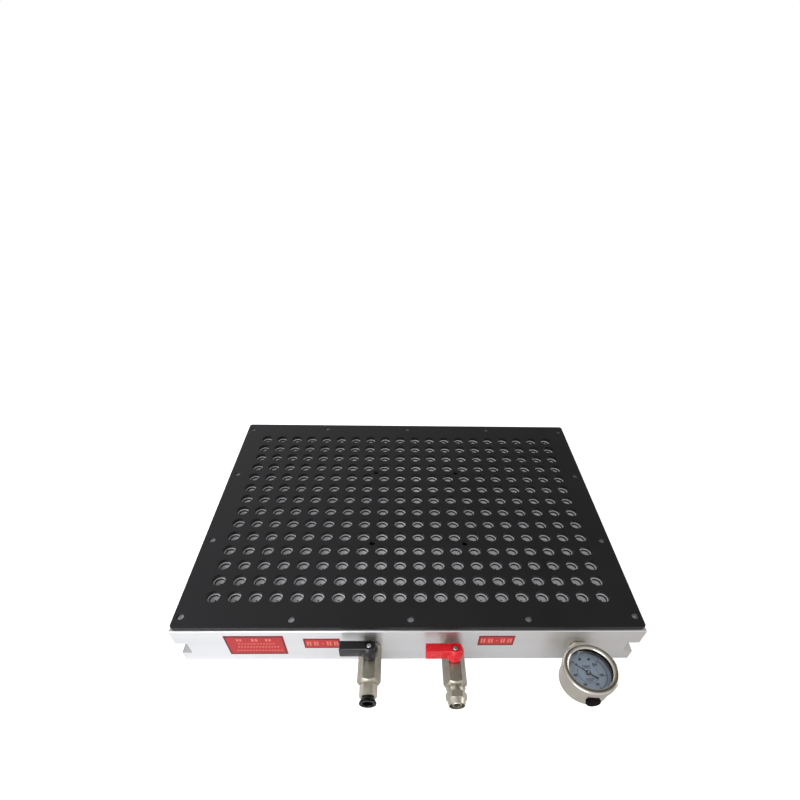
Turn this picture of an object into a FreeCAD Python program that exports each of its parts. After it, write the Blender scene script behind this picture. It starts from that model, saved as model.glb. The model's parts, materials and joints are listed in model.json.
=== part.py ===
import FreeCAD, Part
import math
import os
import re
import Sketcher

# Porous vacuum chuck. Millimetres, +Z up, origin at the centre of the base's underside,
# +X along the long side, -Y towards the front face with the valves and the gauge.

doc = FreeCAD.newDocument("VacuumChuck")
sheet = doc.addObject("Spreadsheet::Sheet", "sizes")

sizes = {
    # Base block
    "base_length": 400,
    "base_depth": 300,
    "base_height": 46,
    "base_chamfer": 0.6,
    "roof_thickness": 8,
    "slot_height": 14.5,
    "slot_reach": 10,
    "lip_height": 13,
    "lip_inset": 1,
    # Suction grid
    "hole_pitch": 18,
    "hole_columns": 20,
    "hole_rows": 14,
    "hole_diameter": 12,
    "pocket_diameter": 9.6,
    "pocket_depth": 2.5,
    "orifice_diameter": 1.5,
    # Vacuum chamber and its cover
    "chamber_margin_side": 5,
    "chamber_margin_front": 9,
    "pillar_diameter": 18,
    "cover_ledge": 15.5,
    "cover_thickness": 6,
    "cover_gap": 0.1,
    "seal_width": 3,
    "seal_depth": 2,
    "seal_inset": 3.5,
    # Black work plate
    "top_thickness": 4,
    "top_inset": 1.6,
    "top_corner": 3,
    # Countersunk screws, alike in the work plate and the cover
    "screw_diameter": 3,
    "screw_head": 5.5,
    "screw_hole": 3.4,
    "head_hole": 6,
    "head_drop": 1.2,
    "screw_length": 9,
    "thread_gap": 0.05,
    "screw_inset": 8,
    "corner_inset_side": 6,
    "corner_inset_front": 11,
    "edge_screw_spacing": 100,
    "side_screw_spacing": 50,
    "cover_screw_inset": 5.5,
    # Ports in the front face
    "port_height": 23,
    "port_diameter": 9.8,
    "port_depth": 11,
    "port_bore": 7,
    "blow_port_x": -34.3,
    "vacuum_port_x": 36.4,
    "gauge_port_x": 146.5,
    "blow_stand_off": 0,
    "vacuum_stand_off": 2.5,
    # Ball valve, measured outward from the front face
    "valve_flats": 17,
    "valve_start": 1,
    "valve_end": 35.3,
    "valve_nose": 14.4,
    "valve_nose_length": 2.8,
    "valve_cavity": 13,
    "cavity_end": 17.5,
    "insert_end": 5.5,
    "insert_thread": 9,
    "ball_place": 11.5,
    "ball_diameter": 10.4,
    "flow_bore": 5.5,
    "seat_bore": 6,
    "seat_gap": 0.05,
    "seat_length": 2.4,
    "female_depth": 11.3,
    "boss_diameter": 10,
    "boss_height": 0.8,
    "stem_diameter": 6,
    "stem_gap": 0.05,
    "shoulder_diameter": 7,
    "shoulder_bottom": 5.35,
    "shoulder_top": 6.5,
    "tang_width": 2,
    "tang_reach": 3.9,
    "slot_gap": 0.1,
    "stem_top": 17,
    "stem_square": 4.2,
    "square_gap": 0.05,
    "seal_cord": 0.9,
    # Lever
    "lever_lift": 0.3,
    "lever_top": 22,
    "hub_diameter": 14.6,
    "hub_shoulder": 17,
    "hub_crown": 9.6,
    "arm_reach": 24.2,
    "arm_width": 8.4,
    "arm_back": 5.2,
    "arm_lift": 1.2,
    "arm_taper": 0.8,
    "arm_corner": 1.8,
    "lever_round": 1,
    "lever_screw": 3,
    "lever_screw_head": 4.2,
    "lever_screw_height": 1.7,
    "lever_recess": 6.4,
    "lever_recess_depth": 2,
    # Push-in connector
    "push_flats": 12.8,
    "push_end": 46,
    "push_bore": 10,
    "push_bore_start": 36.5,
    "tube_diameter": 8,
    "tube_gap": 0.1,
    "sleeve_gap": 0.08,
    "sleeve_start": 40.8,
    "sleeve_neck": 47.4,
    "sleeve_cone": 11.2,
    "sleeve_end": 51.4,
    "sleeve_rim": 14,
    "rim_thickness": 1.1,
    "grip_place": 38.1,
    "grip_thickness": 0.8,
    "tube_seal_cord": 1.1,
    "wall_bore": 6,
    # Compression hose connector
    "hose_flats": 14,
    "hose_hex_end": 38,
    "hose_collar": 14.4,
    "hose_collar_end": 40.3,
    "hose_thread": 12.8,
    "hose_thread_end": 44,
    "nipple_diameter": 8,
    "nipple_bore": 6.2,
    "nipple_end": 50.1,
    "nut_flats": 15,
    "nut_hex_end": 46.2,
    "nut_end": 50.6,
    "nut_nose": 13.2,
    "nut_opening": 12.2,
    "nut_step": 44.6,
    # Gauge, heights measured from its stem axis
    "gauge_reach": 28.5,
    "case_diameter": 42,
    "case_wall": 0.8,
    "case_bottom": 9.5,
    "case_round": 2.5,
    "flange_diameter": 43.6,
    "flange_bottom": 9,
    "bezel_diameter": 45.2,
    "bezel_skirt": 0.7,
    "bezel_top": 14.5,
    "bezel_opening": 35.2,
    "gasket_thickness": 1,
    "window_thickness": 2,
    "window_diameter": 43,
    "dial_diameter": 37,
    "dial_top": 4.5,
    "dial_thickness": 0.5,
    "dial_screw_x": 3.8,
    "dial_screw_y": 12.3,
    "dial_screw": 1.2,
    "dial_screw_head": 2.2,
    "pointer_lift": 0.8,
    "pointer_thickness": 0.4,
    "pointer_reach": 14.2,
    "pointer_tail": 8.8,
    "pointer_hub": 4,
    "pointer_angle": 141,
    "arbor_diameter": 1.2,
    "pinion_diameter": 2.4,
    "sector_place": 7.95,
    "sector_radius": 6.75,
    "sector_thickness": 0.8,
    "mesh_gap": 0.05,
    "pivot_diameter": 1,
    "pivot_gap": 0.05,
    "tail_reach": 4.5,
    "link_length": 7.6,
    "link_width": 1.6,
    "link_thickness": 0.5,
    "plate_thickness": 0.8,
    "movement_bottom": -4.4,
    "movement_top": 3.2,
    "movement_pillar": 1.6,
    "block_width": 12,
    "block_start": 8,
    "block_end": 15.6,
    "block_height": 10.5,
    "socket_neck": 7.8,
    "socket_flats": 14,
    "socket_hex_start": 24.3,
    "socket_hex_end": 27.9,
    "socket_bore": 4,
    "tube_circle": 29,
    "tube_height": 5,
    "tube_thickness": 1.6,
    "tube_wall": 0.25,
    "tube_tip_angle": 136,
    "plug_head": 12.4,
    "plug_neck": 8.8,
    "plug_drop": 1.5,
    "plug_length": 2.4,
    # Printed labels on the front face
    "label_thickness": 0.2,
    "wide_label_width": 50,
    "wide_label_height": 29.5,
    "wide_label_x": -132,
    "wide_label_z": 25.2,
    "port_label_width": 31,
    "port_label_height": 15,
    "blow_label_x": -75.5,
    "blow_label_z": 28,
    "vacuum_label_x": 73.8,
    "vacuum_label_z": 31.8,
}

for row, (alias, number) in enumerate(sizes.items(), start=1):
    sheet.set("A%d" % row, alias)
    sheet.set("B%d" % row, str(number))
    sheet.setAlias("B%d" % row, alias)
doc.recompute()


def formula(text):
    """Points every size named in the text at its cell of the sheet."""
    return re.sub(r"[a-z_]+", lambda m: "sizes." + m.group() if m.group() in sizes else m.group(), text)


def number(text):
    result = sheet.evalExpression(formula(text))
    return float(getattr(result, "Value", result))


def bind(thing, **properties):
    for name, text in properties.items():
        thing.setExpression(name.replace("__", "."), formula(text))


def place(thing, x="0", y="0", z="0"):
    bind(thing, Placement__Base__x=x, Placement__Base__y=y, Placement__Base__z=z)


# Sketches: every corner and circle is located by its own constraints

def origin_part(body, role):
    return [feature for feature in body.Origin.OriginFeatures if feature.Role == role][0]


def sketch(body, plane, lift="0"):
    drawing = body.newObject("Sketcher::SketchObject", body.Name + "_sketch")
    drawing.AttachmentSupport = [(origin_part(body, plane), "")]
    drawing.MapMode = "FlatFace"
    if lift != "0":
        drawing.setExpression("AttachmentOffset.Base.z", formula(lift))
    return drawing


def fix(drawing, item, point, across, along):
    for kind, axis, text in (("DistanceX", -2, across), ("DistanceY", -1, along)):
        if text == "0":
            drawing.addConstraint(Sketcher.Constraint("PointOnObject", item, point, axis))
        else:
            index = drawing.addConstraint(Sketcher.Constraint(kind, -1, 1, item, point, number(text)))
            drawing.setExpression("Constraints[%d]" % index, formula(text))


def outline(drawing, corners):
    points = [FreeCAD.Vector(number(a), number(b), 0) for a, b in corners]
    first = drawing.GeometryCount
    count = len(points)
    for i in range(count):
        drawing.addGeometry(Part.LineSegment(points[i], points[(i + 1) % count]))
    for i in range(count):
        drawing.addConstraint(Sketcher.Constraint("Coincident", first + i, 2, first + (i + 1) % count, 1))
    for i, (across, along) in enumerate(corners):
        fix(drawing, first + i, 1, across, along)


def rectangle(drawing, width, height, x="0", y="0"):
    corners = []
    for sx, sy in ((-1, -1), (1, -1), (1, 1), (-1, 1)):
        corners.append(("(%s)+(%d)*(%s)/2" % (x, sx, width), "(%s)+(%d)*(%s)/2" % (y, sy, height)))
    outline(drawing, corners)


def circle(drawing, diameter, x="0", y="0"):
    centre = FreeCAD.Vector(number(x), number(y), 0)
    item = drawing.addGeometry(Part.Circle(centre, FreeCAD.Vector(0, 0, 1), number(diameter) / 2))
    index = drawing.addConstraint(Sketcher.Constraint("Diameter", item, number(diameter)))
    drawing.setExpression("Constraints[%d]" % index, formula(diameter))
    fix(drawing, item, 3, x, y)


def hexagon(drawing, flats):
    corner = "(%s)/sqrt(3)" % flats
    half = "(%s)/2" % flats
    outline(drawing, [(corner, "0"), (corner + "/2", half), ("-" + corner + "/2", half),
                      ("-" + corner, "0"), ("-" + corner + "/2", "-" + half), (corner + "/2", "-" + half)])


# Features

def new_body(label):
    body = doc.addObject("PartDesign::Body", label)
    body.Label = label
    return body


def pad(body, drawing, length):
    feature = body.newObject("PartDesign::Pad", body.Name + "_pad")
    feature.Profile = drawing
    bind(feature, Length=length)
    return feature


def pocket(body, drawing, depth, reverse=False):
    """Cuts against the sketch's normal, or along it when reversed."""
    doc.recompute()
    before = body.Shape.Volume
    feature = body.newObject("PartDesign::Pocket", body.Name + "_pocket")
    feature.Profile = drawing
    feature.Reversed = reverse
    bind(feature, Length=depth)
    doc.recompute()
    if not body.Shape.Volume < before - 1e-6:
        raise RuntimeError(body.Label + ": a pocket cuts nothing")
    return feature


def revolve(body, drawing, axis="H_Axis", cut=False):
    kind = "PartDesign::Groove" if cut else "PartDesign::Revolution"
    doc.recompute()
    before = body.Shape.Volume if cut else 0
    feature = body.newObject(kind, body.Name + "_turning")
    feature.Profile = drawing
    feature.ReferenceAxis = (drawing, [axis])
    feature.Angle = 360
    doc.recompute()
    if cut and not body.Shape.Volume < before - 1e-6:
        raise RuntimeError(body.Label + ": a groove cuts nothing")
    return feature


def turn(body, corners, axis="H_Axis", cut=False, plane="XY_Plane"):
    drawing = sketch(body, plane)
    outline(drawing, corners)
    return revolve(body, drawing, axis, cut)


def edges_where(shape, test):
    return ["Edge%d" % (i + 1) for i, edge in enumerate(shape.Edges) if test(edge)]


def dress(body, kind, test, **properties):
    """A fillet or chamfer on the edges that pass the test."""
    doc.recompute()
    last = body.Tip
    feature = body.newObject("PartDesign::" + kind, body.Name + "_" + kind.lower())
    feature.Base = (last, edges_where(last.Shape, test))
    bind(feature, **properties)
    body.Tip = feature
    doc.recompute()
    return feature


def grid(body, features):
    """Repeats the front left cell's features over the whole grid."""
    pattern = body.newObject("PartDesign::LinearPattern", body.Name + "_grid")
    pattern.Originals = features
    pattern.Direction = (origin_part(body, "X_Axis"), [""])
    pattern.Direction2 = (origin_part(body, "Y_Axis"), [""])
    bind(pattern, Length="(hole_columns-1)*hole_pitch", Length2="(hole_rows-1)*hole_pitch",
         Occurrences="hole_columns", Occurrences2="hole_rows")
    body.Tip = pattern
    doc.recompute()
    return pattern


def level(edge, height, tolerance=1e-3):
    return abs(edge.BoundBox.ZMin - height) < tolerance and abs(edge.BoundBox.ZMax - height) < tolerance


def upright(edge):
    return edge.BoundBox.ZLength > 1 and edge.BoundBox.XLength < 1e-3 and edge.BoundBox.YLength < 1e-3


# Places that several pieces share

first_x = "-(hole_columns-1)*hole_pitch/2"
first_y = "-(hole_rows-1)*hole_pitch/2"
chamber_x = "((hole_columns-1)*hole_pitch+2*chamber_margin_side)"
chamber_y = "((hole_rows-1)*hole_pitch+2*chamber_margin_front)"
cover_x = "(" + chamber_x + "+2*cover_ledge)"
cover_y = "(" + chamber_y + "+2*cover_ledge)"
top_x = "(base_length-2*top_inset)"
top_y = "(base_depth-2*top_inset)"
front = "-base_depth/2"

inner_places = [(x, y) for x in ("-2*hole_pitch", "3*hole_pitch") for y in ("-3*hole_pitch", "3*hole_pitch")]


def top_screw_places():
    """Five along the front and the back, two along each side and four inside the grid."""
    places = list(inner_places)
    for sy in (-1, 1):
        edge_y = "(%d)*(%s/2-screw_inset)" % (sy, top_y)
        corner_y = "(%d)*(%s/2-corner_inset_front)" % (sy, top_y)
        places.append(("0", edge_y))
        for sx in (-1, 1):
            places.append(("(%d)*edge_screw_spacing" % sx, edge_y))
            places.append(("(%d)*(%s/2-corner_inset_side)" % (sx, top_x), corner_y))
            places.append(("(%d)*(%s/2-screw_inset)" % (sx, top_x), "(%d)*side_screw_spacing" % sy))
    return places


def cover_screw_places():
    """Four corners, three along the front and back, two along each side and the four pillars."""
    places = list(inner_places)
    for sy in (-1, 1):
        edge_y = "(%d)*(%s/2-cover_screw_inset)" % (sy, cover_y)
        places.append(("0", edge_y))
        for sx in (-1, 1):
            edge_x = "(%d)*(%s/2-cover_screw_inset)" % (sx, cover_x)
            places.append((edge_x, edge_y))
            places.append(("(%d)*edge_screw_spacing" % sx, edge_y))
            places.append((edge_x, "(%d)*side_screw_spacing" % sy))
    return places


def base_body():
    """One aluminium block: side slots, chamber from below, stepped suction cells from above."""
    body = new_body("base_body")
    section = sketch(body, "XZ_Plane", front)
    wide = "base_length/2"
    lip = "(base_length/2-lip_inset)"
    inner = "(base_length/2-slot_reach)"
    roof = "(lip_height+slot_height)"
    right = [(lip, "0"), (lip, "lip_height"), (inner, "lip_height"), (inner, roof), (wide, roof),
             (wide, "base_height")]
    outline(section, right + [("-" + x, z) for x, z in reversed(right)])
    pad(body, section, "base_depth")
    top = number("base_height")
    dress(body, "Chamfer", lambda e: level(e, top) or (level(e, 0) and e.BoundBox.XLength > 1), Size="base_chamfer")

    recess = sketch(body, "XY_Plane")
    rectangle(recess, cover_x, cover_y)
    pocket(body, recess, "cover_thickness", True)
    chamber = sketch(body, "XY_Plane")
    rectangle(chamber, chamber_x, chamber_y)
    for x, y in inner_places:
        circle(chamber, "pillar_diameter", x, y)
    pocket(body, chamber, "base_height-roof_thickness", True)
    groove = sketch(body, "XY_Plane", "cover_thickness")
    rectangle(groove, chamber_x + "+2*seal_inset+2*seal_width", chamber_y + "+2*seal_inset+2*seal_width")
    rectangle(groove, chamber_x + "+2*seal_inset", chamber_y + "+2*seal_inset")
    pocket(body, groove, "seal_depth", True)

    tapped = "screw_diameter+2*thread_gap"
    above = sketch(body, "XY_Plane", "base_height")
    for x, y in top_screw_places():
        circle(above, tapped, x, y)
    pocket(body, above, "screw_length")
    below = sketch(body, "XY_Plane", "cover_thickness")
    for x, y in cover_screw_places():
        circle(below, tapped, x, y)
    pocket(body, below, "screw_length", True)

    ports = sketch(body, "XZ_Plane", "base_depth/2")
    bores = sketch(body, "XZ_Plane", "base_depth/2")
    for x in ("blow_port_x", "vacuum_port_x", "gauge_port_x"):
        circle(ports, "port_diameter", x, "port_height")
        circle(bores, "port_bore", x, "port_height")
    pocket(body, ports, "port_depth")
    pocket(body, bores, "(base_depth-%s)/2+1" % chamber_y)

    cell = sketch(body, "XY_Plane", "base_height")
    circle(cell, "pocket_diameter", first_x, first_y)
    orifice = sketch(body, "XY_Plane", "base_height")
    circle(orifice, "orifice_diameter", first_x, first_y)
    grid(body, [pocket(body, cell, "pocket_depth"), pocket(body, orifice, "roof_thickness+1")])


def top_plate():
    """Black plate with a round hole over each suction cell and countersunk screw holes."""
    body = new_body("top_plate")
    place(body, z="base_height")
    face = sketch(body, "XY_Plane")
    rectangle(face, top_x, top_y)
    pad(body, face, "top_thickness")
    dress(body, "Fillet", upright, Radius="top_corner")
    through = sketch(body, "XY_Plane", "top_thickness")
    wide = sketch(body, "XY_Plane", "top_thickness")
    for x, y in top_screw_places():
        circle(through, "screw_hole", x, y)
        circle(wide, "head_hole", x, y)
    pocket(body, through, "top_thickness")
    pocket(body, wide, "head_drop")
    sink = sketch(body, "XY_Plane", "top_thickness-head_drop")
    for x, y in top_screw_places():
        circle(sink, "head_hole", x, y)
    cone = pocket(body, sink, "(head_hole-screw_hole)/2")
    cone.TaperAngle = -45
    hole = sketch(body, "XY_Plane", "top_thickness")
    circle(hole, "hole_diameter", first_x, first_y)
    grid(body, [pocket(body, hole, "top_thickness")])


def bottom_cover():
    body = new_body("bottom_cover")
    face = sketch(body, "XY_Plane")
    rectangle(face, cover_x + "-2*cover_gap", cover_y + "-2*cover_gap")
    pad(body, face, "cover_thickness")
    through = sketch(body, "XY_Plane")
    wide = sketch(body, "XY_Plane")
    sink = sketch(body, "XY_Plane", "head_drop")
    for x, y in cover_screw_places():
        circle(through, "screw_hole", x, y)
        circle(wide, "head_hole", x, y)
        circle(sink, "head_hole", x, y)
    pocket(body, through, "cover_thickness", True)
    pocket(body, wide, "head_drop", True)
    cone = pocket(body, sink, "(head_hole-screw_hole)/2", True)
    cone.TaperAngle = -45


def cover_seal():
    """Cord seal, pressed to the section of its groove."""
    body = new_body("cover_seal")
    ring = sketch(body, "XY_Plane", "cover_thickness")
    slack = "2*cover_gap"
    rectangle(ring, chamber_x + "+2*seal_inset+2*seal_width-" + slack,
              chamber_y + "+2*seal_inset+2*seal_width-" + slack)
    rectangle(ring, chamber_x + "+2*seal_inset+" + slack, chamber_y + "+2*seal_inset+" + slack)
    pad(body, ring, "seal_depth")


def screw_solid(thickness):
    """One countersunk screw with a hexagon socket, head up, for a plate that lies on z = 0."""
    head = number("screw_head") / 2
    shank = number("screw_diameter") / 2
    drop = (number("head_hole") - number("screw_head")) / 2
    cone = head - shank
    length = number("screw_length")
    top = number(thickness) - number("head_drop") - drop
    profile = [(0, top), (head, top), (shank, top - cone), (shank, 0.5 - length), (shank - 0.5, -length), (0, -length)]
    face = Part.Face(Part.makePolygon([FreeCAD.Vector(r, 0, z) for r, z in profile + profile[:1]]))
    solid = face.revolve(FreeCAD.Vector(0, 0, 0), FreeCAD.Vector(0, 0, 1), 360)
    socket = [FreeCAD.Vector(0.62 * shank * math.cos(a), 0.62 * shank * math.sin(a), 0)
              for a in [math.radians(60 * i) for i in range(7)]]
    tool = Part.Face(Part.makePolygon(socket)).extrude(FreeCAD.Vector(0, 0, cone))
    tool.translate(FreeCAD.Vector(0, 0, top - 0.8 * cone))
    return solid.cut(tool)


def screw_group(label, places, thickness, seat, upside_down=False):
    solids = []
    for x, y in places:
        solid = screw_solid(thickness)
        if upside_down:
            solid.rotate(FreeCAD.Vector(0, 0, 0), FreeCAD.Vector(1, 0, 0), 180)
        solid.translate(FreeCAD.Vector(number(x), number(y), 0))
        solids.append(solid)
    group = doc.addObject("Part::Feature", label)
    group.Label = label
    group.Shape = Part.makeCompound(solids)
    place(group, z=seat)


def label_plate(label, width, height, x, z):
    body = new_body(label)
    place(body, y=front)
    face = sketch(body, "XZ_Plane")
    rectangle(face, width, height, x, z)
    pad(body, face, "label_thickness")


# Pieces on a port are drawn with x outward from the front face along the port's axis

def at_port(thing, side):
    thing.Placement.Rotation = FreeCAD.Rotation(FreeCAD.Vector(0, 0, 1), -90)
    place(thing, side + "_port_x", front + "-" + side + "_stand_off", "port_height")


def hex_prism(body, flats, start, length):
    drawing = sketch(body, "YZ_Plane", start)
    hexagon(drawing, flats)
    pad(body, drawing, length)


def hex_chamfer(body, flats, end, outward):
    """Turns the corners of a hexagon off at 30 degrees at one end."""
    inner = "(%s)/2" % flats
    outer = "((%s)/sqrt(3)+0.5)" % flats
    run = "(%s-%s)*tan(30)*(%d)" % (outer, inner, -1 if outward else 1)
    turn(body, [(end, inner), (end, outer), ("(%s)+%s" % (end, run), outer)], cut=True)


def thread_end(start, end):
    """Corners of a plain threaded length with a chamfered tip, from the axis outward."""
    outer = "(port_diameter/2-thread_gap)"
    return [(start, outer + "-0.8"), (start + "+0.8", outer), (end, outer)]


def valve_body(side):
    body = new_body(side + "_valve_body")
    hex_prism(body, "valve_flats", "valve_start", "valve_end-valve_start")
    corner = "(valve_flats/sqrt(3)+0.5)"
    turn(body, [("valve_end", "valve_nose/2"), ("valve_end", corner), ("valve_end-valve_nose_length", corner)],
         cut=True)
    hex_chamfer(body, "valve_flats", "valve_start", False)
    boss = sketch(body, "XY_Plane", "valve_flats/2-1")
    circle(boss, "boss_diameter", "ball_place")
    pad(body, boss, "1+boss_height")
    turn(body, [("valve_start", "0"), ("valve_end", "0"), ("valve_end", "port_diameter/2"),
                ("valve_end-female_depth", "port_diameter/2"), ("valve_end-female_depth", "flow_bore/2"),
                ("cavity_end", "flow_bore/2"), ("cavity_end", "valve_cavity/2"),
                ("valve_start", "valve_cavity/2")], cut=True)
    stem = sketch(body, "XY_Plane")
    circle(stem, "stem_diameter+2*stem_gap", "ball_place")
    pocket(body, stem, "valve_flats/2+boss_height", True)
    seat = sketch(body, "XY_Plane")
    circle(seat, "shoulder_diameter+2*stem_gap", "ball_place")
    pocket(body, seat, "shoulder_top+stem_gap", True)
    at_port(body, side)


def valve_insert(side):
    """Threaded end that goes into the base and holds the inner seat against the ball."""
    body = new_body(side + "_valve_insert")
    wide = "(valve_cavity/2-thread_gap)"
    turn(body, [("-insert_thread", "seat_bore/2")] + thread_end("-insert_thread", "valve_start")
         + [("valve_start", wide), ("insert_end", wide), ("insert_end", "seat_bore/2")])
    at_port(body, side)


def primitive(kind, name, x="0", y="0", z="0", axis=None, **properties):
    thing = doc.addObject("Part::" + kind, name)
    if axis:
        thing.Placement.Rotation = FreeCAD.Rotation(FreeCAD.Vector(0, 0, 1), FreeCAD.Vector(*axis))
    bind(thing, **properties)
    place(thing, x, y, z)
    return thing


def minus(label, base, tool):
    thing = doc.addObject("Part::Cut", label)
    thing.Base = base
    thing.Tool = tool
    thing.Label = label
    return thing


def plus(name, things):
    thing = doc.addObject("Part::MultiFuse", name)
    thing.Shapes = things
    return thing


def ball(side):
    """Closed: the flow bore lies across the port and the stem's slot lies along it."""
    label = side + "_ball"
    sphere = primitive("Sphere", label + "_sphere", "ball_place", Radius="ball_diameter/2")
    bore = primitive("Cylinder", label + "_bore", "ball_place", "-ball_diameter", axis=(0, 1, 0),
                     Radius="flow_bore/2", Height="2*ball_diameter")
    width = "tang_width+2*slot_gap"
    slot = primitive("Box", label + "_slot", "ball_place-ball_diameter/2", "-(%s)/2" % width, "tang_reach-slot_gap",
                     Length="ball_diameter", Width=width, Height="ball_diameter")
    at_port(minus(label, sphere, plus(label + "_cuts", [bore, slot])), side)


def ball_seats(side):
    """Two rings with a spherical face, one each side of the ball."""
    label = side + "_ball_seats"
    wide = "valve_cavity/2-seat_gap"
    rings = [primitive("Cylinder", label + "_ring", start, axis=(1, 0, 0), Radius=wide, Height="seat_length")
             for start in ("insert_end", "cavity_end-seat_length")]
    bore = primitive("Cylinder", label + "_bore", "0", axis=(1, 0, 0), Radius="seat_bore/2", Height="valve_end")
    sphere = primitive("Sphere", label + "_sphere", "ball_place", Radius="ball_diameter/2+seat_gap")
    at_port(minus(label, plus(label + "_pair", rings), plus(label + "_cuts", [bore, sphere])), side)


def stem(side):
    """Tang in the ball, a shoulder that can't blow out, a seal groove and a square for the lever."""
    body = new_body(side + "_stem")
    radius = "stem_diameter/2"
    groove = radius + "-seal_cord-stem_gap"
    lower = "shoulder_top+0.4"
    upper = lower + "+seal_cord+0.2"
    shaft = sketch(body, "XZ_Plane")
    outline(shaft, [("0", "shoulder_bottom"), ("shoulder_diameter/2", "shoulder_bottom"),
                    ("shoulder_diameter/2", "shoulder_top"), (radius, "shoulder_top"), (radius, lower),
                    (groove, lower), (groove, upper), (radius, upper),
                    (radius, "valve_flats/2+boss_height"), ("0", "valve_flats/2+boss_height")])
    revolve(body, shaft, "V_Axis")
    tang = sketch(body, "XY_Plane", "tang_reach")
    rectangle(tang, "shoulder_diameter*0.8", "tang_width")
    pad(body, tang, "shoulder_bottom-tang_reach+0.2")
    square = sketch(body, "XY_Plane", "valve_flats/2+boss_height-0.2")
    rectangle(square, "stem_square", "stem_square")
    pad(body, square, "stem_top-valve_flats/2-boss_height+0.2")
    tapped = sketch(body, "XY_Plane", "stem_top")
    circle(tapped, "lever_screw+2*thread_gap")
    pocket(body, tapped, "5")
    at_stem(body, side)


def at_stem(thing, side):
    """The stem's frame: z up, x outward from the front face, on the ball's centre."""
    thing.Placement.Rotation = FreeCAD.Rotation(FreeCAD.Vector(0, 0, 1), -90)
    place(thing, side + "_port_x", front + "-ball_place-" + side + "_stand_off", "port_height")


def stem_seal(side):
    ring = primitive("Torus", side + "_stem_seal", Radius1="stem_diameter/2-seal_cord/2-stem_gap/2",
                     Radius2="seal_cord/2")
    ring.Label = side + "_stem_seal"
    place(ring, side + "_port_x", front + "-ball_place-" + side + "_stand_off",
          "port_height+shoulder_top+0.5+seal_cord/2")


def lever(side):
    """Wing lever: a round hub with a coned shoulder under a straight bar that lies across the flow: closed."""
    body = new_body(side + "_lever")
    bottom = "(valve_flats/2+boss_height+lever_lift)"
    low = bottom + "+arm_lift"
    arm = sketch(body, "YZ_Plane", "-arm_width/2")
    outline(arm, [("arm_back", low + "+4"), ("arm_back", "lever_top"), ("-arm_reach+arm_taper", "lever_top"),
                  ("-arm_reach", "lever_top-arm_taper"), ("-arm_reach", low + "+arm_taper"),
                  ("-arm_reach+arm_taper", low), ("0", low), ("0", low + "+4")])
    pad(body, arm, "arm_width")
    dress(body, "Chamfer", lambda e: upright(e) and e.BoundBox.YMin > 1, Size="arm_corner")
    top = number("lever_top")
    dress(body, "Fillet", lambda e: level(e, top) and e.BoundBox.YLength > 9, Radius="lever_round")
    hub = sketch(body, "XZ_Plane")
    outline(hub, [("0", bottom), ("hub_diameter/2-0.5", bottom), ("hub_diameter/2", bottom + "+0.5"),
                  ("hub_diameter/2", "hub_shoulder"), ("hub_crown/2", "lever_top-0.6"),
                  ("hub_crown/2-0.8", "lever_top"), ("0", "lever_top")])
    revolve(body, hub, "V_Axis")
    square = sketch(body, "XY_Plane")
    rectangle(square, "stem_square+2*square_gap", "stem_square+2*square_gap")
    pocket(body, square, "stem_top+0.2", True)
    bore = sketch(body, "XY_Plane", "lever_top")
    circle(bore, "lever_screw+0.4")
    pocket(body, bore, "lever_top-stem_top")
    recess = sketch(body, "XY_Plane", "lever_top")
    circle(recess, "lever_recess")
    pocket(body, recess, "lever_recess_depth")
    at_stem(body, side)


def lever_screw(side):
    body = new_body(side + "_lever_screw")
    seat = "(lever_top-lever_recess_depth)"
    head = "lever_screw_head/2"
    low = "(stem_top-4.5)"
    profile = sketch(body, "XZ_Plane")
    outline(profile, [("0", low), ("lever_screw/2-0.4", low), ("lever_screw/2", low + "+0.4"),
                      ("lever_screw/2", seat), (head, seat), (head, seat + "+lever_screw_height-0.6"),
                      (head + "-0.7", seat + "+lever_screw_height"), ("0", seat + "+lever_screw_height")])
    revolve(body, profile, "V_Axis")
    cross = sketch(body, "XY_Plane", seat + "+lever_screw_height")
    arm = "lever_screw_head*0.3"
    thin = "0.35"
    outline(cross, [(arm, "-" + thin), (arm, thin), (thin, thin), (thin, arm), ("-" + thin, arm),
                    ("-" + thin, thin), ("-" + arm, thin), ("-" + arm, "-" + thin), ("-" + thin, "-" + thin),
                    ("-" + thin, "-" + arm), (thin, "-" + arm), (thin, "-" + thin)])
    pocket(body, cross, "0.9")
    at_stem(body, side)


def push_fitting():
    body = new_body("push_fitting_body")
    hex_prism(body, "push_flats", "valve_end", "push_end-valve_end")
    hex_chamfer(body, "push_flats", "push_end", True)
    start = "valve_end-female_depth+2"
    turn(body, [(start, "wall_bore/2")] + thread_end(start, "valve_end+0.5") + [("valve_end+0.5", "wall_bore/2")])
    turn(body, [(start, "0"), ("push_end", "0"), ("push_end", "push_bore/2"), ("push_bore_start", "push_bore/2"),
                ("push_bore_start", "wall_bore/2"), (start, "wall_bore/2")], cut=True)
    at_port(body, "blow")


def release_sleeve():
    body = new_body("release_sleeve")
    inner = "(tube_diameter/2+tube_gap)"
    outer = "(push_bore/2-sleeve_gap)"
    rim = "sleeve_rim/2"
    turn(body, [("sleeve_start", inner), ("sleeve_start", outer), ("sleeve_neck", outer), ("sleeve_neck", "sleeve_cone/2"),
                ("sleeve_end-rim_thickness", rim), ("sleeve_end-0.3", rim), ("sleeve_end", rim + "-0.3"),
                ("sleeve_end", inner + "+0.8"), ("sleeve_end-0.8", inner)])
    at_port(body, "blow")


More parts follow.
